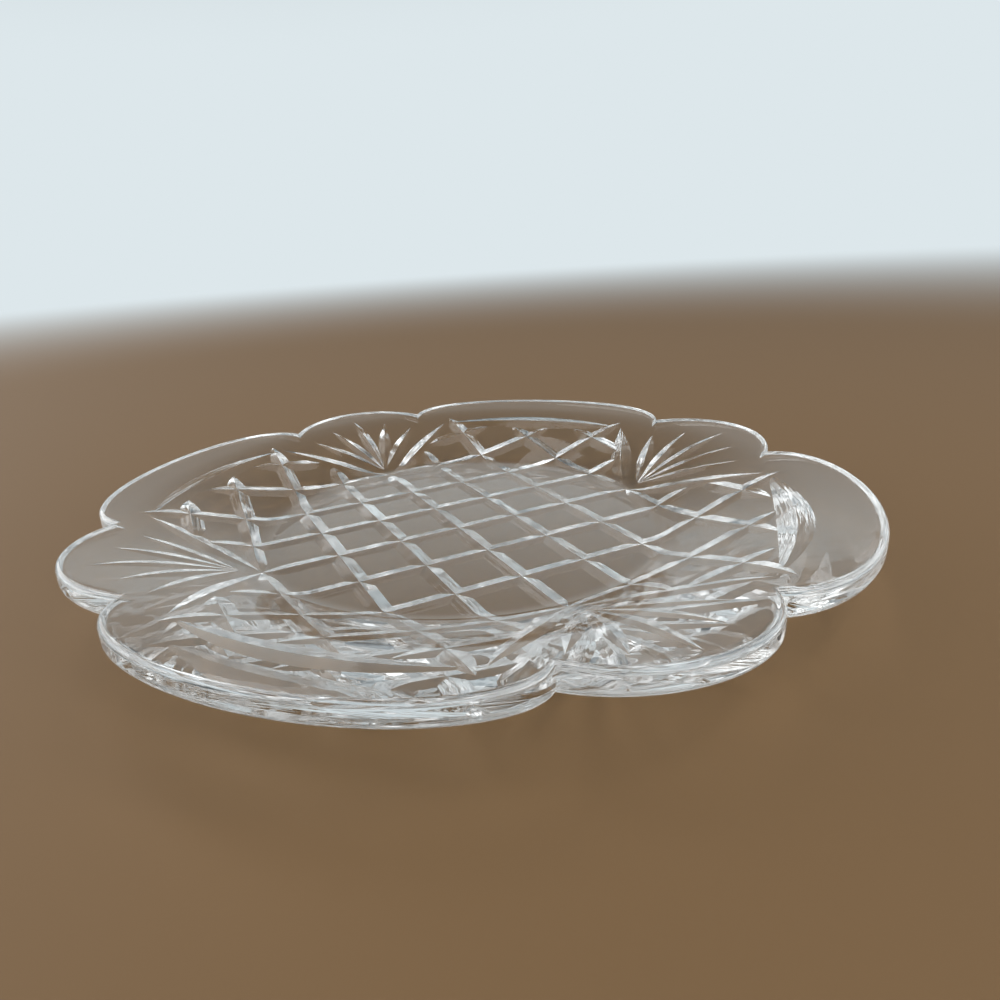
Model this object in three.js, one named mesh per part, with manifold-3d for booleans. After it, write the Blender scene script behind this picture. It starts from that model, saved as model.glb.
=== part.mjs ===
// Crystal plate: one pressing of clear crystal glass, with eight lobes round a shallow well.
// The top is smooth. A diamond lattice, its borders and four fans are mitre cuts in the underside.
// Millimetres, +Z up. The plate rests on Z = 0 and the Z axis is its axis.

import * as THREE from 'three';
import Module from 'manifold-3d';
import { mergeVertices } from 'three/addons/utils/BufferGeometryUtils.js';

// Outline: wide lobes on the X and Y axes, narrow lobes on the diagonals, sharp corners between them
const cornerRadius = 92.3;
const wideLobeHalfAngle = THREE.MathUtils.degToRad(29.8);
const wideLobeRise = 22.8;
const narrowLobeRise = 12.9;
const wideLobeSteps = 12;
const narrowLobeSteps = 6;

// Section: a flat floor, a soft crease, a wall that climbs straight and then levels out to the lobes'
// slope at the corners, and a rounded edge. The well is as deep as the corners stand above the floor.
// The glass thins out from the floor to the wide lobes' tips, faster and faster, by the thinning power.
const floorRadius = 56;
const floorThickness = 8.6;
const edgeThickness = 5.2;
const wellDepth = 10.9;
const lobeSlope = 0.125;
const creaseHalfWidth = 2.5;
const thinningPower = 1.5;
const edgeRounding = 1.5;
const creaseSteps = 2;
const wallSteps = 5;
const roundingSteps = 3;

// Arms: the lattice runs out along each axis, between two borders, to a crescent. The borders of
// neighbouring arms meet on the diagonal, at the same distance from both axes.
const armMargin = 11.8;
const armHalfWidth = 34.2;
const borderMeet = 40.9;
const borderDepth = 1.3;
const crescentBulge = 5.7;
const crescentDepth = 1.55;

// Lattice: two crossing families of straight cuts, and the size of its diamonds along X and Y. In each
// arm, two outer cuts start where borders meet and cross on the axis. Two short cuts run beside them and
// would cross farther out.
const latticeCell = 25.2;
const outerCrossing = 76.6;
const shortCrossing = 96.5;
const latticeDepth = 1.2;
const latticeTaper = 9;
const latticeClearance = 3;

// Fans: leaves that spread from one point on each diagonal, the middle one the longest
const fanGap = 5.8;
const fanMargin = 5.6;
const fanSpread = THREE.MathUtils.degToRad(21.5);
const fanShortening = [4.6, 3.6, 0, 3.6, 4.6];
const fanDepth = 0.9;

// Mitre cuts: half a cut's width for each millimetre of its depth. A cutter's feet and keel are below
// the glass. It just clears the glass at both ends of the cut, and has a station at every step.
const mitreSpread = 2.5;
const cutterReach = 0.6;
const cutterKeel = 3;
const cutterClearance = 0.02;
const cutterStep = 8;

// Places that follow from the sizes above
const quarterTurn = Math.PI / 2;
const diagonal = Math.PI / 4;
const wallRun = cornerRadius - floorRadius;
const wallSlope = (4 * wellDepth / wallRun - lobeSlope) / 3;
const wideLobeTip = cornerRadius * Math.cos(wideLobeHalfAngle) + wideLobeRise;
const thinningRun = wideLobeTip - floorRadius;
const edgeRadius = Math.min(edgeRounding, 0.45 * edgeThickness);
const narrowLobeHalfAngle = diagonal - wideLobeHalfAngle;
const narrowLobeTip = cornerRadius * Math.cos(narrowLobeHalfAngle) + narrowLobeRise;
const armLength = cornerRadius - armMargin;
const crescentRadius = (armHalfWidth ** 2 + crescentBulge ** 2) / (2 * crescentBulge);
const crescentCentre = armLength + crescentBulge - crescentRadius;
const fanRadius = Math.SQRT2 * borderMeet + fanGap;
const fanLength = narrowLobeTip - fanMargin - fanRadius;

// Way gone out from the crease: 0 on the floor, a parabola through the crease, then the plain distance
function wallWay(radius) {
  const way = radius - floorRadius;
  if (Math.abs(way) < creaseHalfWidth) {
    return (way + creaseHalfWidth) ** 2 / (4 * creaseHalfWidth);
  }
  return Math.max(way, 0);
}

// How far up the wall a radius is: 0 on the floor, 1 at the corners
function wallFraction(radius) {
  return THREE.MathUtils.clamp((radius - floorRadius) / wallRun, 0, 1);
}

// Height of the top: the wall's slope falls with the cube of the way up, to the lobes' slope
function topHeight(radius) {
  const levelling = (wallSlope - lobeSlope) * wallRun * wallFraction(radius) ** 4 / 4;
  const beyond = Math.max(radius - cornerRadius, 0);
  return floorThickness + wallSlope * (wallWay(radius) - beyond) - levelling + lobeSlope * beyond;
}

// Height of the underside: on the way out, the glass goes from the floor's thickness to the edge's
function underHeight(radius) {
  const thinning = (floorThickness - edgeThickness) * (wallWay(radius) / thinningRun) ** thinningPower;
  return topHeight(radius) - floorThickness + thinning;
}

// A lobe about the X axis, from its first corner up to its second: a wide one is half an ellipse
function wideLobe() {
  const halfWidth = cornerRadius * Math.sin(wideLobeHalfAngle);
  const chord = cornerRadius * Math.cos(wideLobeHalfAngle);
  const points = [];
  for (let i = 0; i < wideLobeSteps; i += 1) {
    const turn = Math.PI * (i / wideLobeSteps - 0.5);
    points.push(new THREE.Vector2(chord + wideLobeRise * Math.cos(turn), halfWidth * Math.sin(turn)));
  }
  return points;
}

// A narrow lobe is a circular arc
function narrowLobe() {
  const halfWidth = cornerRadius * Math.sin(narrowLobeHalfAngle);
  const radius = (halfWidth ** 2 + narrowLobeRise ** 2) / (2 * narrowLobeRise);
  const centre = narrowLobeTip - radius;
  const sweep = Math.atan2(halfWidth, radius - narrowLobeRise);
  const points = [];
  for (let i = 0; i < narrowLobeSteps; i += 1) {
    const turn = sweep * (2 * i / narrowLobeSteps - 1);
    points.push(new THREE.Vector2(centre + radius * Math.cos(turn), radius * Math.sin(turn)));
  }
  return points;
}

// A plan point turned about the plate's axis
function turned(point, angle) {
  return point.clone().rotateAround(new THREE.Vector2(), angle);
}

// The whole outline, counterclockwise: a wide lobe and a narrow lobe in each quarter
function plateOutline() {
  const outline = [];
  for (let quarter = 0; quarter < 4; quarter += 1) {
    const axis = quarter * quarterTurn;
    outline.push(...wideLobe().map((point) => turned(point, axis)));
    outline.push(...narrowLobe().map((point) => turned(point, axis + diagonal)));
  }
  return outline;
}

// The outline moved inward by a distance, with mitred corners
function insetOutline(outline, distance) {
  return outline.map((point, i) => {
    const before = outline[(i + outline.length - 1) % outline.length];
    const after = outline[(i + 1) % outline.length];
    const arriving = point.clone().sub(before).normalize();
    const leaving = after.clone().sub(point).normalize();
    const inward = new THREE.Vector2(-arriving.y - leaving.y, arriving.x + leaving.x).normalize();
    const mitre = inward.y * arriving.x - inward.x * arriving.y;
    return point.clone().addScaledVector(inward, distance / mitre);
  });
}

function indexedGeometry(points, index) {
  const geometry = new THREE.BufferGeometry().setFromPoints(points);
  geometry.setIndex(index);
  return geometry;
}

// The uncut body: rings from the floor, through the crease, out over the rounded edge, and back below
function bodyGeometry() {
  const outline = plateOutline();
  const circle = (radius) => outline.map((point) => point.clone().setLength(radius));
  const rounded = (angle) => insetOutline(outline, edgeRadius * (1 - Math.sin(angle)));
  const wallStart = circle(floorRadius + creaseHalfWidth);
  const wallEnd = rounded(0);
  const between = (share) => wallStart.map((point, i) => point.clone().lerp(wallEnd[i], share));
  const lifted = (plan, height) => plan.map((p) => new THREE.Vector3(p.x, p.y, height(p.length())));
  const dropAt = (angle) => edgeRadius * (1 - Math.cos(angle));
  const steps = (count, start, end) => Array.from(
    { length: count + 1 },
    (_, i) => THREE.MathUtils.lerp(start, end, i / count),
  );
  const creaseWays = steps(creaseSteps, -creaseHalfWidth, creaseHalfWidth);
  const crease = creaseWays.map((way) => circle(floorRadius + way));
  const inner = [...crease, ...steps(wallSteps, 0, 1).slice(1).map(between)];
  const angles = steps(roundingSteps, 0, quarterTurn).slice(1);
  const rings = [
    ...inner.map((plan) => lifted(plan, topHeight)),
    ...angles.map((angle) => lifted(rounded(angle), (r) => topHeight(r) - dropAt(angle))),
    ...angles.toReversed().map((angle) => lifted(rounded(angle), (r) => underHeight(r) + dropAt(angle))),
    ...inner.toReversed().map((plan) => lifted(plan, underHeight)),
  ];
  const points = rings.flat();
  const count = outline.length;
  const lastRing = points.length - count;
  const topCentre = points.push(new THREE.Vector3(0, 0, topHeight(0))) - 1;
  const underCentre = points.push(new THREE.Vector3(0, 0, underHeight(0))) - 1;
  const index = [];
  for (let i = 0; i < count; i += 1) {
    const next = (i + 1) % count;
    index.push(topCentre, i, next, underCentre, lastRing + next, lastRing + i);
    for (let ring = 0; ring < lastRing; ring += count) {
      index.push(ring + i, ring + count + i, ring + count + next);
      index.push(ring + i, ring + count + next, ring + next);
    }
  }
  return indexedGeometry(points, index);
}

// The cutter of one mitre cut: a four-sided bar along plan points. Its ridge stands in the glass by a
// depth that depends on the way gone along the path, 0 to 1. Its feet and its keel are outside.
function cutGeometry(path, depthAt) {
  const raised = (place, lift) => new THREE.Vector3(place.x, place.y, underHeight(place.length()) + lift);
  const points = path.flatMap((place, i) => {
    const before = path[Math.max(i - 1, 0)];
    const after = path[Math.min(i + 1, path.length - 1)];
    const depth = depthAt(i / (path.length - 1));
    const along = after.clone().sub(before).normalize();
    const across = new THREE.Vector2(-along.y, along.x).multiplyScalar(mitreSpread * (depth + cutterReach));
    return [
      raised(place, depth),
      raised(place.clone().add(across), -cutterReach),
      raised(place, -cutterKeel),
      raised(place.clone().sub(across), -cutterReach),
    ];
  });
  const sides = 4;
  const last = points.length - sides;
  const index = [0, 1, 2, 0, 2, 3, last, last + 2, last + 1, last, last + 3, last + 2];
  for (let row = 0; row < last; row += sides) {
    for (let side = 0; side < sides; side += 1) {
      const next = (side + 1) % sides;
      index.push(row + side, row + sides + side, row + sides + next);
      index.push(row + side, row + sides + next, row + next);
    }
  }
  return indexedGeometry(points, index);
}

// Even stations along a straight cut
function straightPath(start, end) {
  const count = Math.max(4, Math.ceil(start.distanceTo(end) / cutterStep));
  return Array.from({ length: count + 1 }, (_, i) => start.clone().lerp(end, i / count));
}

// A leaf cut is deepest halfway and runs out to nothing at both ends
function leafCut(path, depth) {
  return cutGeometry(path, (way) => (depth + cutterClearance) * Math.sin(Math.PI * way) - cutterClearance);
}

// A lattice cut keeps its depth between two pointed ends
function latticeCut(start, end) {
  const length = start.distanceTo(end);
  return cutGeometry(straightPath(start, end), (way) => {
    const share = Math.min(length * Math.min(way, 1 - way) / latticeTaper, 1);
    return (latticeDepth + cutterClearance) * share * (2 - share) - cutterClearance;
  });
}

// Where a line through a plan point meets a border of the arm along X: the upper one has side 1
function borderCrossing(point, way, side) {
  const meeting = new THREE.Vector2(borderMeet, side * borderMeet);
  const border = new THREE.Vector2(armLength, side * armHalfWidth).sub(meeting);
  const distance = meeting.clone().sub(point).cross(border) / way.cross(border);
  return point.clone().addScaledVector(way, distance);
}

// Where such a line comes close to the arm's crescent
function crescentCrossing(point, way) {
  const along = way.clone().normalize();
  const place = point.clone().sub(new THREE.Vector2(crescentCentre, 0));
  const reach = Math.sqrt((crescentRadius - latticeClearance) ** 2 - place.cross(along) ** 2);
  return point.clone().addScaledVector(along, reach - place.dot(along));
}

// Lattice lines of one quarter, as pairs of ends: inner lines, which are their own mirror images in
// x + y = 0, then the outer and the short lines of the arm along X and their mirror images in its axis
function latticeLines() {
  const inner = [1, 2].map((cells) => {
    const onAxis = new THREE.Vector2(cells * latticeCell, 0);
    const end = borderCrossing(onAxis, new THREE.Vector2(1, 1), 1);
    return [new THREE.Vector2(-end.y, -end.x), end];
  });
  const meeting = new THREE.Vector2(borderMeet, -borderMeet);
  const outerWay = new THREE.Vector2(outerCrossing, 0).sub(meeting);
  const beyond = new THREE.Vector2(shortCrossing, 0);
  const armLines = [
    [meeting, crescentCrossing(meeting, outerWay)],
    [borderCrossing(beyond, outerWay, -1), crescentCrossing(beyond, outerWay)],
  ];
  const mirrored = armLines.map((ends) => ends.map((end) => new THREE.Vector2(end.x, -end.y)));
  return [...inner, ...armLines, ...mirrored];
}

// The cuts of one quarter turn: half of a lattice family, one arm's frame and one fan
function quarterCuts(axis) {
  const place = (point) => turned(point, axis);
  const straight = (start, end) => straightPath(place(start), place(end));
  const cuts = latticeLines().map(([start, end]) => latticeCut(place(start), place(end)));

  for (const side of [1, -1]) {
    const corner = new THREE.Vector2(armLength, side * armHalfWidth);
    const innerEnd = new THREE.Vector2(borderMeet, side * borderMeet);
    cuts.push(leafCut(straight(corner, innerEnd), borderDepth));
  }

  const sweep = Math.asin(armHalfWidth / crescentRadius);
  const crescent = new THREE.EllipseCurve(crescentCentre, 0, crescentRadius, crescentRadius, -sweep, sweep);
  const stations = Math.ceil(crescent.getLength() / cutterStep);
  cuts.push(leafCut(crescent.getPoints(stations).map(place), crescentDepth));

  const fanPoint = turned(new THREE.Vector2(fanRadius, 0), diagonal);
  fanShortening.forEach((shorter, i) => {
    const turn = diagonal + (i - (fanShortening.length - 1) / 2) * fanSpread;
    const leaf = turned(new THREE.Vector2(fanLength - shorter, 0), turn);
    cuts.push(leafCut(straight(fanPoint, leaf.add(fanPoint)), fanDepth));
  });
  return cuts;
}

// The middle line of each lattice family, from the inner end of two borders to the opposite one
function middleCuts() {
  return [diagonal, diagonal + quarterTurn].map((axis) => {
    const end = turned(new THREE.Vector2(Math.SQRT2 * borderMeet, 0), axis);
    return latticeCut(end.clone().negate(), end);
  });
}

const wasm = await Module();
wasm.setup();

function solidOf(geometry) {
  const merged = mergeVertices(geometry);
  return new wasm.Manifold(new wasm.Mesh({
    numProp: 3,
    vertProperties: new Float32Array(merged.attributes.position.array),
    triVerts: new Uint32Array(merged.index.array),
  }));
}

function geometryOf(solid) {
  const mesh = solid.getMesh();
  const geometry = new THREE.BufferGeometry();
  geometry.setAttribute('position', new THREE.BufferAttribute(mesh.vertProperties, 3));
  geometry.setIndex(new THREE.BufferAttribute(mesh.triVerts, 1));
  geometry.computeVertexNormals();
  return geometry;
}

let glass = solidOf(bodyGeometry());
const cuts = [0, 1, 2, 3].flatMap((quarter) => quarterCuts(quarter * quarterTurn));
for (const cut of [...middleCuts(), ...cuts]) {
  glass = glass.subtract(solidOf(cut));
}

const crystal = new THREE.MeshStandardMaterial({ color: '#e6ecee', roughness: 0.05, metalness: 0 });
const plate = new THREE.Mesh(geometryOf(glass), crystal);
plate.name = 'plate';

const object = new THREE.Group();
object.add(plate);
export default object;
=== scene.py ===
# %% [markdown]
# # A crystal plate
# The plate is one pressing of clear crystal glass. Its edge has four wide lobes and four narrow ones,
# its well is shallow and its top is smooth. All that sparkles is under it: V-shaped mitre cuts in the
# underside, seen through the glass.
#
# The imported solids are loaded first, so that everything below shares their frame: Z is up, the plate
# rests on Z = 0, and the Z axis is its axis. Lengths are written in millimetres, as a maker would
# give them, and turned into metres where a mesh is made.

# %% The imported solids
import math

import bpy
import numpy as np
from mathutils import Matrix, Vector


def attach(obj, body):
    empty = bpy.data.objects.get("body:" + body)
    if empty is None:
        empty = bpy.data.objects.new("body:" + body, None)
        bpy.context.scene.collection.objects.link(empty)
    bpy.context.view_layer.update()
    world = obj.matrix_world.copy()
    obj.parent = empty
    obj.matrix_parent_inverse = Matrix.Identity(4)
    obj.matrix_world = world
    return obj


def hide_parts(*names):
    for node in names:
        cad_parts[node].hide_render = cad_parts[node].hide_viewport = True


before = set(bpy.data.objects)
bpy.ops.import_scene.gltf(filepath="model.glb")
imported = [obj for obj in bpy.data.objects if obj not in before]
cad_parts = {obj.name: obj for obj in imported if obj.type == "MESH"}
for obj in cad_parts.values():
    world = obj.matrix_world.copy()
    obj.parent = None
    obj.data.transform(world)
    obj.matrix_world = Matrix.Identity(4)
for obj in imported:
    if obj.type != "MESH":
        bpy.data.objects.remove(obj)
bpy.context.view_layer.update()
MM = 0.001

# %% [markdown]
# ## Outline
# Seen from above, a wide lobe is half an ellipse and a narrow lobe is a circular arc, and they meet in
# sharp inward corners that lie on one circle. The outline could be a curve object, but as plain
# numbers it can be moved inward for the rounded edge and lifted to any height. A plan point is written
# as one complex number, x + iy, because a turn about the axis is then a multiplication.

# %% Outline
CORNER_RADIUS = 92.3
WIDE_HALF_ANGLE = math.radians(29.8)
WIDE_RISE = 22.8
NARROW_RISE = 12.9
WIDE_POINTS = 48
NARROW_POINTS = 28
QUARTER_TURNS = np.exp(0.5j * np.pi * np.arange(4))
DIAGONAL = np.exp(0.25j * np.pi)

narrow_half_angle = math.pi / 4 - WIDE_HALF_ANGLE
narrow_tip = CORNER_RADIUS * math.cos(narrow_half_angle) + NARROW_RISE
wide_tip = CORNER_RADIUS * math.cos(WIDE_HALF_ANGLE) + WIDE_RISE


def wide_lobe():
    """Half an ellipse about +X: x = chord + rise * cos(t), y = half width * sin(t)."""
    turn = np.pi * (np.arange(WIDE_POINTS) / WIDE_POINTS - 0.5)
    corner = CORNER_RADIUS * np.exp(1j * WIDE_HALF_ANGLE)
    return corner.real + WIDE_RISE * np.cos(turn) + 1j * corner.imag * np.sin(turn)


def narrow_lobe():
    """Arc through two corners and the tip: its radius is (half width^2 + rise^2) / (2 * rise)."""
    half_width = CORNER_RADIUS * math.sin(narrow_half_angle)
    radius = (half_width**2 + NARROW_RISE**2) / (2 * NARROW_RISE)
    sweep = math.atan2(half_width, radius - NARROW_RISE)
    turn = sweep * (2 * np.arange(NARROW_POINTS) / NARROW_POINTS - 1)
    return DIAGONAL * (narrow_tip - radius + radius * np.exp(1j * turn))


outline = np.outer(QUARTER_TURNS, np.concatenate([wide_lobe(), narrow_lobe()])).ravel()
print("outline:", len(outline), "points,", round(2 * abs(outline).max(), 1), "mm across")

# %% [markdown]
# ## Section
# The floor is flat. At its circle a soft crease turns it up into the wall, which climbs straight at
# first and levels out towards the corners, and the lobes go on outward from there. The glass is thick in
# the floor and thins out towards the edge. Its two faces aren't parallel there, so the near side of the
# plate throws light back up inside the glass and looks silver, while the floor looks clear.
#
# Both faces follow from the distance to the axis, so a few small functions hold the whole section, and
# the cuts can ask them for the underside's height at any place.

# %% Section
FLOOR_RADIUS = 56.0
FLOOR_THICKNESS = 8.6
EDGE_THICKNESS = 5.2
WELL_DEPTH = 10.9
LOBE_SLOPE = 0.125
CREASE_HALF_WIDTH = 2.5
THINNING_POWER = 1.5
wall_run = CORNER_RADIUS - FLOOR_RADIUS
wall_slope = (4 * WELL_DEPTH / wall_run - LOBE_SLOPE) / 3
thinning_run = wide_tip - FLOOR_RADIUS


def wall_way(radius):
    """Way out from the crease: 0 on the floor, (way + c)^2 / 4c within c of it, then the plain way."""
    way = radius - FLOOR_RADIUS
    bent = (np.maximum(way + CREASE_HALF_WIDTH, 0)) ** 2 / (4 * CREASE_HALF_WIDTH)
    return np.where(way < CREASE_HALF_WIDTH, bent, way)


def wall_share(radius):
    """How far up the wall a radius is: 0 on the floor, 1 at the corners."""
    return np.clip((radius - FLOOR_RADIUS) / wall_run, 0, 1)


def top_height(radius):
    """Floor + slope * way - (slope - lobe slope) * run * u^4 / 4, with u = wall share, then straight."""
    beyond = np.maximum(radius - CORNER_RADIUS, 0)
    levelling = (wall_slope - LOBE_SLOPE) * wall_run * wall_share(radius) ** 4 / 4
    return FLOOR_THICKNESS + wall_slope * (wall_way(radius) - beyond) - levelling + LOBE_SLOPE * beyond


def under_height(radius):
    """The top less the thickness, which falls faster and faster on the way out: as way^power."""
    thinning = (FLOOR_THICKNESS - EDGE_THICKNESS) * (wall_way(radius) / thinning_run) ** THINNING_POWER
    return top_height(radius) - FLOOR_THICKNESS + thinning


print("rim height at a corner and at a wide lobe's tip:",
      top_height(np.array([CORNER_RADIUS, abs(outline).max()])).round(1), "mm")

# %% [markdown]
# ## Blank
# The blank is the plate before any cut. It is a closed tube: ring after ring of points that starts at
# the floor's circle, runs out over the top and round the edge, and comes back under the plate. A lathe
# (the Screw modifier) can't make it, because the rings change from a circle to the lobed outline on
# the way. Carrying one grid of rings does, and the edge's roundness is two quarter circles of rings.

# %% Blank
EDGE_ROUNDING = 1.5
CREASE_RINGS = 8
WALL_RINGS = 26
ROUNDING_RINGS = 8


def inset(plan, distance):
    """A closed plan moved inward: each point goes along the bisector by distance / cos(half the bend)."""
    arriving = plan - np.roll(plan, 1)
    leaving = np.roll(plan, -1) - plan
    arriving = arriving / abs(arriving)
    leaving = leaving / abs(leaving)
    inward = 1j * (arriving + leaving) / abs(arriving + leaving)
    return plan + inward * distance / (inward * np.conj(1j * arriving)).real


def tube_object(name, points, chart=None):
    """Closed tube: quads between neighbouring rings, a cap on each end, and a chart (UV map) in mm."""
    rings, count = points.shape[:2]
    ring, place = np.mgrid[0:rings - 1, 0:count]
    start = ring * count
    after = (place + 1) % count
    above = start + count
    quads = np.stack([start + place, above + place, above + after, start + after], axis=-1)
    caps = [list(range(count)), list(range(rings * count - 1, (rings - 1) * count - 1, -1))]
    mesh = bpy.data.meshes.new(name)
    mesh.from_pydata((points.reshape(-1, 3) * MM).tolist(), [], quads.reshape(-1, 4).tolist() + caps)
    corner = np.zeros(len(mesh.loops), dtype=np.int32)
    mesh.loops.foreach_get("vertex_index", corner)
    places = np.zeros((rings * count, 2)) if chart is None else chart.reshape(-1, 2)
    layer = mesh.uv_layers.new(name="flank_chart")
    layer.data.foreach_set("uv", places[corner].astype(np.float32).ravel())
    tube = bpy.data.objects.new(name, mesh)
    bpy.context.scene.collection.objects.link(tube)
    return tube


def blank_rings():
    """Circles through the crease, straight ways to the inset outline, quarter circles at the edge."""
    way = np.linspace(-CREASE_HALF_WIDTH, CREASE_HALF_WIDTH, CREASE_RINGS + 1)[:, None]
    share = np.linspace(0, 1, WALL_RINGS + 1)[1:, None]
    angle = np.linspace(0, math.pi / 2, ROUNDING_RINGS + 1)[1:]
    crease = (FLOOR_RADIUS + way) * outline / abs(outline)
    wall = np.concatenate([crease, crease[-1] + share * (inset(outline, EDGE_ROUNDING) - crease[-1])])
    edge = np.stack([inset(outline, EDGE_ROUNDING * (1 - math.sin(turn))) for turn in angle])
    drop = EDGE_ROUNDING * (1 - np.cos(angle))[:, None]
    plan = np.concatenate([wall, edge, edge[::-1], wall[::-1]])
    height = np.concatenate([top_height(abs(wall)), top_height(abs(edge)) - drop,
                             (under_height(abs(edge)) + drop)[::-1], under_height(abs(wall))[::-1]])
    return np.stack([plan.real, plan.imag, height], axis=-1)


plate = tube_object("crystal_plate", blank_rings())
print("blank:", len(plate.data.vertices), "points")

# %% [markdown]
# ## Mitre cuts
# Every line of the pattern is a V-shaped cut. On the real plate the mould presses it; in cut glass a
# wheel with a pointed rim grinds it. Here a cutter is a four-sided bar that follows a path under the
# plate: its ridge stands in the glass by the depth of the cut, and its two feet and its keel are below
# the underside, so what it takes away is a V as wide as its depth says. Drawing the lines with a bump
# texture would give no light paths through the flanks, and those paths are what makes crystal glitter.
#
# Each bar also carries a flat chart of its flanks in millimetres: one way along the cut, the other down
# from its ridge. The cut takes the chart over, so the glass can have streaks that follow every cut.

# %% Mitre cutters
MITRE_SPREAD = 2.5
CUTTER_REACH = 0.6
CUTTER_KEEL = 3.0
CUTTER_CLEARANCE = 0.02
CUTTER_STEP = 1.5
FEWEST_STEPS = 8
CHART_STEP = 150.0

cutters = []


def lifted(plan, lift):
    """Plan points at a lift above the underside."""
    return np.stack([plan.real, plan.imag, under_height(abs(plan)) + lift], axis=-1)


def cutter(path, depth):
    """Four points a station: the ridge at the depth, a foot spread * (depth + reach) each way, a keel.

    The chart of a flank is the way along the path and the way down from the ridge. Each cutter has its
    own stretch of the chart, so that no two cuts have the same streaks.
    """
    along = np.gradient(path)
    spread = MITRE_SPREAD * (depth + CUTTER_REACH)
    across = 1j * along / abs(along) * spread
    points = np.stack([lifted(path, depth), lifted(path + across, -CUTTER_REACH),
                       lifted(path, -CUTTER_KEEL), lifted(path - across, -CUTTER_REACH)], axis=1)
    way = np.concatenate([[0], np.cumsum(abs(np.diff(path)))]) + CHART_STEP * len(cutters)
    down = np.stack([0 * spread, spread, 0 * spread, -spread], axis=1)
    return points, np.stack([np.broadcast_to(way[:, None], down.shape), down], axis=-1)


def straight_path(start, end):
    """Even stations from start to end."""
    steps = max(FEWEST_STEPS, math.ceil(abs(end - start) / CUTTER_STEP))
    return np.linspace(start, end, steps + 1)


def leaf_cut(path, depth):
    """A leaf is deepest halfway: its depth follows sin(pi * way), and its ends just clear the glass."""
    way = np.linspace(0, 1, len(path))
    return cutter(path, (depth + CUTTER_CLEARANCE) * np.sin(np.pi * way) - CUTTER_CLEARANCE)


# %% [markdown]
# ## Arms
# The lattice runs out along each axis in an arm. Two leaf cuts border it, from the arm's corner in to
# the diagonal, where they meet those of the next arm, and a crescent closes it under the lobe. The
# crescent is an arc through both corners of the arm. One arm is worked out along +X, and multiplying
# its paths by the four quarter turns gives the others.

# %% Borders and crescents
ARM_MARGIN = 11.8
ARM_HALF_WIDTH = 34.2
BORDER_MEET = 40.9
BORDER_DEPTH = 1.3
CRESCENT_BULGE = 5.7
CRESCENT_DEPTH = 1.55

arm_length = CORNER_RADIUS - ARM_MARGIN
crescent_radius = (ARM_HALF_WIDTH**2 + CRESCENT_BULGE**2) / (2 * CRESCENT_BULGE)
crescent_centre = arm_length + CRESCENT_BULGE - crescent_radius
crescent_sweep = math.asin(ARM_HALF_WIDTH / crescent_radius)
crescent_stations = math.ceil(2 * crescent_sweep * crescent_radius / CUTTER_STEP) + 1
crescent = crescent_centre + crescent_radius * np.exp(
    1j * np.linspace(-crescent_sweep, crescent_sweep, crescent_stations))

for turn in QUARTER_TURNS:
    cutters.append(leaf_cut(crescent * turn, CRESCENT_DEPTH))
    for side in (1, -1):
        corner = complex(arm_length, side * ARM_HALF_WIDTH)
        meeting = complex(BORDER_MEET, side * BORDER_MEET)
        cutters.append(leaf_cut(straight_path(corner, meeting) * turn, BORDER_DEPTH))
print("arm frames:", len(cutters), "cuts")

# %% [markdown]
# ## Lattice
# Two families of straight cuts cross to form diamonds. The inner lines lie at 45 degrees, one or two
# diamonds away from the axis, and run from border to border. In each arm, two outer lines start where the
# borders meet, cross on the arm's axis and end near the crescent, and two short lines run beside them.
# Every line thins out at its ends, as the wheel leaves the glass. Ends are found where a line meets a
# border or a circle, so that a change to the arm carries the lattice with it. Only the lines of one arm
# are worked out, and the quarter turns give the rest.

# %% Lattice lines
LATTICE_CELL = 25.2
OUTER_CROSSING = 76.6
SHORT_CROSSING = 96.5
LATTICE_DEPTH = 1.2
LATTICE_TAPER = 9.0
LATTICE_CLEARANCE = 3.0


def border_crossing(point, way, side):
    """Where point + t * way meets the arm's upper border (side 1) or its lower one (side -1)."""
    meeting = complex(BORDER_MEET, side * BORDER_MEET)
    border = complex(arm_length, side * ARM_HALF_WIDTH) - meeting
    return point + way * (np.conj(meeting - point) * border).imag / (np.conj(way) * border).imag


def crescent_crossing(point, way):
    """Where point + t * way leaves a circle that is a clearance smaller than the crescent's."""
    along = way / abs(way)
    place = (point - crescent_centre) * np.conj(along)
    reach = math.sqrt((crescent_radius - LATTICE_CLEARANCE) ** 2 - place.imag**2)
    return point + along * (reach - place.real)


def lattice_cut(start, end):
    """Full depth between two pointed ends: with s = distance to the end / taper, depth * s (2 - s)."""
    path = straight_path(start, end)
    share = np.minimum(np.minimum(abs(path - start), abs(path - end)) / LATTICE_TAPER, 1)
    return cutter(path, (LATTICE_DEPTH + CUTTER_CLEARANCE) * share * (2 - share) - CUTTER_CLEARANCE)


inner_ends = [border_crossing(cells * LATTICE_CELL, 1 + 1j, 1) for cells in (1, 2)]
lines = [(complex(-end.imag, -end.real), end) for end in inner_ends]
lower_meeting = complex(BORDER_MEET, -BORDER_MEET)
outer_way = OUTER_CROSSING - lower_meeting
outer_line = (lower_meeting, crescent_crossing(lower_meeting, outer_way))
short_line = (border_crossing(SHORT_CROSSING, outer_way, -1),
              crescent_crossing(SHORT_CROSSING, outer_way))
for start, end in (outer_line, short_line):
    lines += [(start, end), (start.conjugate(), end.conjugate())]
middle_end = math.sqrt(2) * BORDER_MEET * DIAGONAL

for turn in QUARTER_TURNS[:2]:
    cutters.append(lattice_cut(-middle_end * turn, middle_end * turn))
for turn in QUARTER_TURNS:
    for start, end in lines:
        cutters.append(lattice_cut(start * turn, end * turn))
print("lattice spacing:", round(LATTICE_CELL / math.sqrt(2), 2), "mm; cuts so far:", len(cutters))

# %% [markdown]
# ## Fans
# In front of each narrow lobe five leaf cuts spread from one point on the diagonal, the middle one the
# longest.

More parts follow.
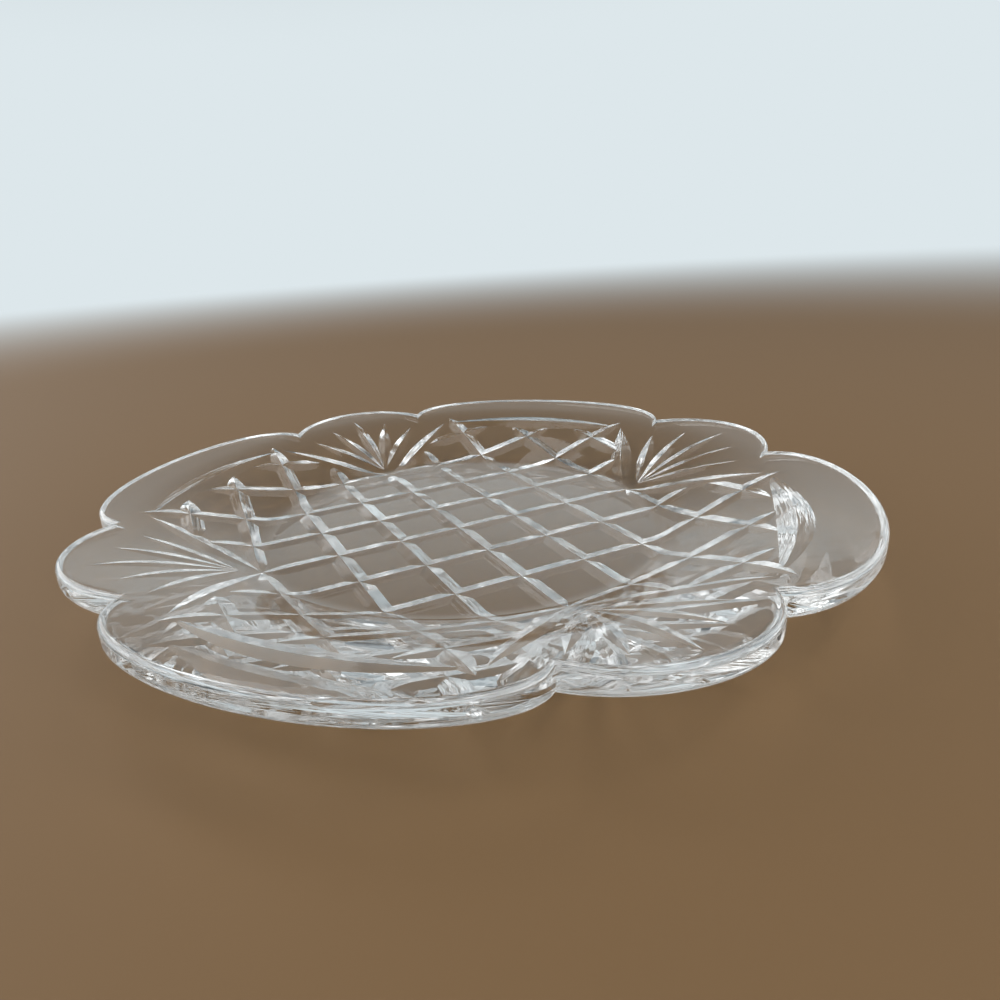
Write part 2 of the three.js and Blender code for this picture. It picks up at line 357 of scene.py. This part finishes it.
# %% Fans
FAN_GAP = 5.8
FAN_MARGIN = 5.6
FAN_SPREAD = math.radians(21.5)
FAN_SHORTENING = np.array([4.6, 3.6, 0.0, 3.6, 4.6])
FAN_DEPTH = 0.9

fan_radius = math.sqrt(2) * BORDER_MEET + FAN_GAP
fan_length = narrow_tip - FAN_MARGIN - fan_radius
fan_turns = FAN_SPREAD * (np.arange(len(FAN_SHORTENING)) - (len(FAN_SHORTENING) - 1) / 2)
fan_tips = fan_radius + (fan_length - FAN_SHORTENING) * np.exp(1j * fan_turns)

for turn in QUARTER_TURNS * DIAGONAL:
    for tip in fan_tips:
        cutters.append(leaf_cut(straight_path(fan_radius * turn, tip * turn), FAN_DEPTH))
print("fan leaves:", round(fan_length, 1), "mm at most; all cuts:", len(cutters))

# %% [markdown]
# ## Cutting
# A Boolean modifier takes one cutter after the other out of the blank. The result replaces the blank's
# mesh and the cutters go. The wall and the edge are shaded smooth, and edges that bend by more than
# a few degrees stay sharp, so that every flank is a clean facet.

# %% Cutting the glass
SHARP_ANGLE = math.radians(14)


def cut_away(blank, bars):
    """Subtract every bar from the blank, and keep the result as the blank's own mesh."""
    tools = [tube_object(f"cutter_{number}", *bar) for number, bar in enumerate(bars)]
    for tool in tools:
        cut = blank.modifiers.new(tool.name, "BOOLEAN")
        cut.operation = "DIFFERENCE"
        cut.solver = "MANIFOLD"
        cut.object = tool
    evaluated = blank.evaluated_get(bpy.context.evaluated_depsgraph_get())
    mesh = bpy.data.meshes.new_from_object(evaluated)
    blank.modifiers.clear()
    blank.data = mesh
    for tool in tools:
        bpy.data.objects.remove(tool)


cut_away(plate, cutters)
plate.data.name = "crystal_plate"
plate.data.shade_smooth()
plate.data.set_sharp_from_angle(angle=SHARP_ANGLE)
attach(plate, "root")
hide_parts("plate")
print("plate:", len(plate.data.vertices), "points,", len(plate.data.polygons), "faces")

# %% [markdown]
# ## Colours and nodes
# Colours are written as sRGB hex values, as on a paint chart, and one function turns them into the
# linear numbers that shaders work in. One more function adds a node and sets or links its inputs.

# %% Colour and node helpers


def linear(hex_colour):
    """sRGB to linear: ((c + 0.055) / 1.055)^2.4, or c / 12.92 near black."""
    channels = np.array([int(hex_colour[i:i + 2], 16) / 255 for i in (1, 3, 5)])
    bright = ((channels + 0.055) / 1.055) ** 2.4
    return (*np.where(channels > 0.04045, bright, channels / 12.92).tolist(), 1.0)


def add_node(tree, kind, settings=None, **inputs):
    """Add a node, set its properties, and set or link each named input."""
    node = tree.nodes.new(kind)
    for name, value in (settings or {}).items():
        setattr(node, name, value)
    for name, value in inputs.items():
        socket = node.inputs[name.replace("_", " ")]
        if isinstance(value, bpy.types.NodeSocket):
            tree.links.new(value, socket)
        else:
            socket.default_value = value
    return node


def new_material(name):
    """A material with an empty node tree."""
    material = bpy.data.materials.new(name)
    material.use_nodes = True
    material.node_tree.nodes.clear()
    return material, material.node_tree


print("a middle grey, #808080, is", round(linear("#808080")[0], 3), "in linear numbers")

# %% [markdown]
# ## Crystal
# The glass is a clear crystal, heavier and more refracting than window glass. It was pressed and then
# fire-polished: its skin is glossy, but it isn't flat like a ground lens. It kept long, faint waves of
# the hot glass and a finer ripple of the mould's skin, which bend every reflection. The flanks of the
# cuts also have fine streaks along the cut, left in the mould by the tool that made it. Where the plate
# stands, the underside's lands carry fine scuffs.
#
# Waves, ripple and scuffs are noise on Object coordinates, and the streaks are noise on the flanks'
# chart, stretched along the cut, so all of them stay on the glass in every view.

# %% Crystal material
CRYSTAL_COLOUR = "#fafcfc"
CRYSTAL_IOR = 1.545
POLISHED_ROUGHNESS = 0.006
WAVE_LENGTH = 9.0
WAVE_HEIGHT = 0.03
RIPPLE_LENGTH = 2.6
RIPPLE_HEIGHT = 0.004
STREAK_LENGTH = 20.0
STREAK_WIDTH = 0.9
STREAK_HEIGHT = 0.07
SCUFF_LENGTH = 1.2
SCUFF_RANGE = (0.55, 0.75)
SCUFF_ROUGHNESS = 0.12
SCUFFED_BELOW = 0.15
WORN_BELOW = 0.02

crystal, tree = new_material("pressed_lead_crystal_fire_polished")
place = add_node(tree, "ShaderNodeTexCoord").outputs["Object"]
wave = add_node(tree, "ShaderNodeTexNoise", Vector=place, Scale=1 / (WAVE_LENGTH * MM), Detail=1.0)
ripple = add_node(tree, "ShaderNodeTexNoise", Vector=place, Scale=1 / (RIPPLE_LENGTH * MM), Detail=2.0)
scuff = add_node(tree, "ShaderNodeTexNoise", Vector=place, Scale=1 / (SCUFF_LENGTH * MM), Detail=4.0)
wavy = add_node(tree, "ShaderNodeBump", Height=wave.outputs["Fac"], Distance=WAVE_HEIGHT * MM,
                Strength=1.0)
rippled = add_node(tree, "ShaderNodeBump", Height=ripple.outputs["Fac"], Distance=RIPPLE_HEIGHT * MM,
                   Strength=1.0, Normal=wavy.outputs["Normal"])
chart = add_node(tree, "ShaderNodeUVMap", {"uv_map": "flank_chart"}).outputs["UV"]
drawn = add_node(tree, "ShaderNodeMapping", Vector=chart,
                 Scale=(1 / STREAK_LENGTH, 1 / STREAK_WIDTH, 1.0))
streak = add_node(tree, "ShaderNodeTexNoise", Vector=drawn.outputs["Vector"], Scale=1.0, Detail=2.0)
streaked = add_node(tree, "ShaderNodeBump", Height=streak.outputs["Fac"], Distance=STREAK_HEIGHT * MM,
                    Strength=1.0, Normal=rippled.outputs["Normal"])
height = add_node(tree, "ShaderNodeSeparateXYZ", Vector=place).outputs["Z"]
standing = add_node(tree, "ShaderNodeMapRange", Value=height, From_Min=SCUFFED_BELOW * MM,
                    From_Max=WORN_BELOW * MM)
scuffed = add_node(tree, "ShaderNodeMapRange", Value=scuff.outputs["Fac"], From_Min=SCUFF_RANGE[0],
                   From_Max=SCUFF_RANGE[1], To_Min=0.0, To_Max=standing.outputs["Result"])
haze = add_node(tree, "ShaderNodeMapRange", Value=scuffed.outputs["Result"], To_Min=POLISHED_ROUGHNESS,
                To_Max=SCUFF_ROUGHNESS)
glass = add_node(tree, "ShaderNodeBsdfPrincipled", Base_Color=linear(CRYSTAL_COLOUR), IOR=CRYSTAL_IOR,
                 Roughness=haze.outputs["Result"], Transmission_Weight=1.0,
                 Normal=streaked.outputs["Normal"])
add_node(tree, "ShaderNodeOutputMaterial", Surface=glass.outputs["BSDF"])
plate.data.materials.clear()
plate.data.materials.append(crystal)
print("crystal: IOR", CRYSTAL_IOR, "with waves of", WAVE_LENGTH, "mm and ripples of", RIPPLE_LENGTH, "mm")

# %% [markdown]
# ## Studio
# Glass has hardly any colour of its own: it shows what is around it. So the stage is plain, but it isn't
# the same everywhere. The floor is a warm brown sheet, dark enough for the bright cuts to stand out, and
# it fades with distance into the pale surround, so that no hard horizon stands behind the glass. The
# surround is pale near the horizon, where the flanks of the cuts get their light from, and dark grey
# overhead, which draws the dark lines in the glass. Two large soft boxes light the plate and give it a
# shadow.
#
# Light meets many faces on its way through the cuts, so the rays may bounce often. To save noise, Cycles
# would also blur clear glass for light that comes off a matt floor, and such glass keeps the floor under
# it in the dark. That blur is switched off, so that the floor shines through the plate.

# %% Floor
FLOOR_SIZE = 4000.0
FLOOR_DROP = 0.05
FLOOR_POINTS = 96
FADE_START = 450.0
FADE_END = 1700.0
PAPER_COLOUR = "#80623f"
PAPER_ROUGHNESS = 0.75
FIBRE_LENGTH = 0.9
FIBRE_HEIGHT = 0.02
FIBRE_STRENGTH = 0.3
SURROUND = "#dde7eb"

rim = np.exp(2j * np.pi * np.arange(FLOOR_POINTS) / FLOOR_POINTS) * FLOOR_SIZE
floor_points = np.stack([rim.real, rim.imag, np.full(FLOOR_POINTS, -FLOOR_DROP)], axis=-1)
floor_mesh = bpy.data.meshes.new("studio_floor")
floor_mesh.from_pydata((floor_points * MM).tolist(), [], [list(range(FLOOR_POINTS))])
floor = bpy.data.objects.new("studio_floor", floor_mesh)
bpy.context.scene.collection.objects.link(floor)

paper, tree = new_material("matt_backdrop_paper")
place = add_node(tree, "ShaderNodeTexCoord").outputs["Object"]
fibre = add_node(tree, "ShaderNodeTexNoise", Vector=place, Scale=1 / (FIBRE_LENGTH * MM), Detail=3.0)
tooth = add_node(tree, "ShaderNodeBump", Height=fibre.outputs["Fac"], Distance=FIBRE_HEIGHT * MM,
                 Strength=FIBRE_STRENGTH)
sheet = add_node(tree, "ShaderNodeBsdfPrincipled", Base_Color=linear(PAPER_COLOUR),
                 Roughness=PAPER_ROUGHNESS, Normal=tooth.outputs["Normal"])
glow = add_node(tree, "ShaderNodeEmission", Color=linear(SURROUND), Strength=1.0)
away = add_node(tree, "ShaderNodeVectorMath", {"operation": "LENGTH"}, Vector=place).outputs["Value"]
fade = add_node(tree, "ShaderNodeMapRange", {"interpolation_type": "SMOOTHSTEP"}, Value=away,
                From_Min=FADE_START * MM, From_Max=FADE_END * MM)
blend = add_node(tree, "ShaderNodeMixShader", Fac=fade.outputs["Result"])
tree.links.new(sheet.outputs["BSDF"], blend.inputs[1])
tree.links.new(glow.outputs["Emission"], blend.inputs[2])
add_node(tree, "ShaderNodeOutputMaterial", Surface=blend.outputs["Shader"])
floor_mesh.materials.append(paper)
print("floor:", 2 * FLOOR_SIZE * MM, "m across, fading from", FADE_START * MM, "m")

# %% Surround and soft boxes
OVERHEAD = "#40474c"
OVERHEAD_START = math.radians(12)
OVERHEAD_FULL = math.radians(46)
LIGHT_BOUNCES = 32
SOFT_BOXES = {
    "key_box": dict(place=(-1.4, -0.1, 1.3), size=2.4, watts=30.0),
    "fill_box": dict(place=(1.0, -0.3, 0.9), size=1.6, watts=12.0),
}

world = bpy.data.worlds.new("studio_surround")
world.use_nodes = True
tree = world.node_tree
tree.nodes.clear()
direction = add_node(tree, "ShaderNodeTexCoord").outputs["Generated"]
climb = add_node(tree, "ShaderNodeSeparateXYZ", Vector=direction).outputs["Z"]
high = add_node(tree, "ShaderNodeMapRange", {"interpolation_type": "SMOOTHSTEP"}, Value=climb,
                From_Min=math.sin(OVERHEAD_START), From_Max=math.sin(OVERHEAD_FULL))
tint = add_node(tree, "ShaderNodeMix", {"data_type": "RGBA"}, Factor=high.outputs["Result"])
low_colour, high_colour = [socket for socket in tint.inputs if socket.type == "RGBA"]
low_colour.default_value = linear(SURROUND)
high_colour.default_value = linear(OVERHEAD)
mixed_colour = next(socket for socket in tint.outputs if socket.type == "RGBA")
backdrop = add_node(tree, "ShaderNodeBackground", Color=mixed_colour, Strength=1.0)
add_node(tree, "ShaderNodeOutputWorld", Surface=backdrop.outputs["Background"])
bpy.context.scene.world = world

for name, box in SOFT_BOXES.items():
    lamp = bpy.data.lights.new(name, "AREA")
    lamp.energy = box["watts"]
    lamp.size = box["size"]
    holder = bpy.data.objects.new(name, lamp)
    holder.location = box["place"]
    holder.rotation_euler = (-Vector(box["place"])).to_track_quat("-Z", "Y").to_euler()
    bpy.context.scene.collection.objects.link(holder)
bpy.context.scene.view_settings.view_transform = "Standard"
light_paths = bpy.context.scene.cycles
light_paths.max_bounces = LIGHT_BOUNCES
light_paths.transmission_bounces = LIGHT_BOUNCES
light_paths.glossy_bounces = LIGHT_BOUNCES
light_paths.blur_glossy = 0.0
print("soft boxes:", list(SOFT_BOXES))

# %% [markdown]
# ## Camera
# The photograph was taken close to the plate, from low in front and a little to the right. The place,
# the turns and the lens come from fitting the outline's corners and lobes to the picture. The frame is
# square, and the small shift is what the picture's cropping needs.

# %% Camera
CAMERA_PLACE = (68.3, -178.3, 84.3)
CAMERA_YAW = math.radians(23.228)
CAMERA_PITCH = math.radians(19.916)
CAMERA_ROLL = math.radians(-4.178)
SENSOR_WIDTH = 36.0
LENS = 26.01
SHIFT = (0.0694, 0.0007)
NEAREST = 5.0

camera = bpy.data.cameras.new("camera")
camera.sensor_width = SENSOR_WIDTH
camera.lens = LENS
camera.shift_x, camera.shift_y = SHIFT
camera.clip_start = NEAREST * MM
viewer = bpy.data.objects.new("camera", camera)
aim = Matrix.Rotation(CAMERA_YAW, 4, "Z") @ Matrix.Rotation(math.pi / 2 - CAMERA_PITCH, 4, "X")
viewer.matrix_world = (Matrix.Translation(Vector(CAMERA_PLACE) * MM) @ aim
                       @ Matrix.Rotation(CAMERA_ROLL, 4, "Z"))
bpy.context.scene.collection.objects.link(viewer)
bpy.context.scene.camera = viewer
print("camera:", round(Vector(CAMERA_PLACE).length), "mm from the plate's centre")
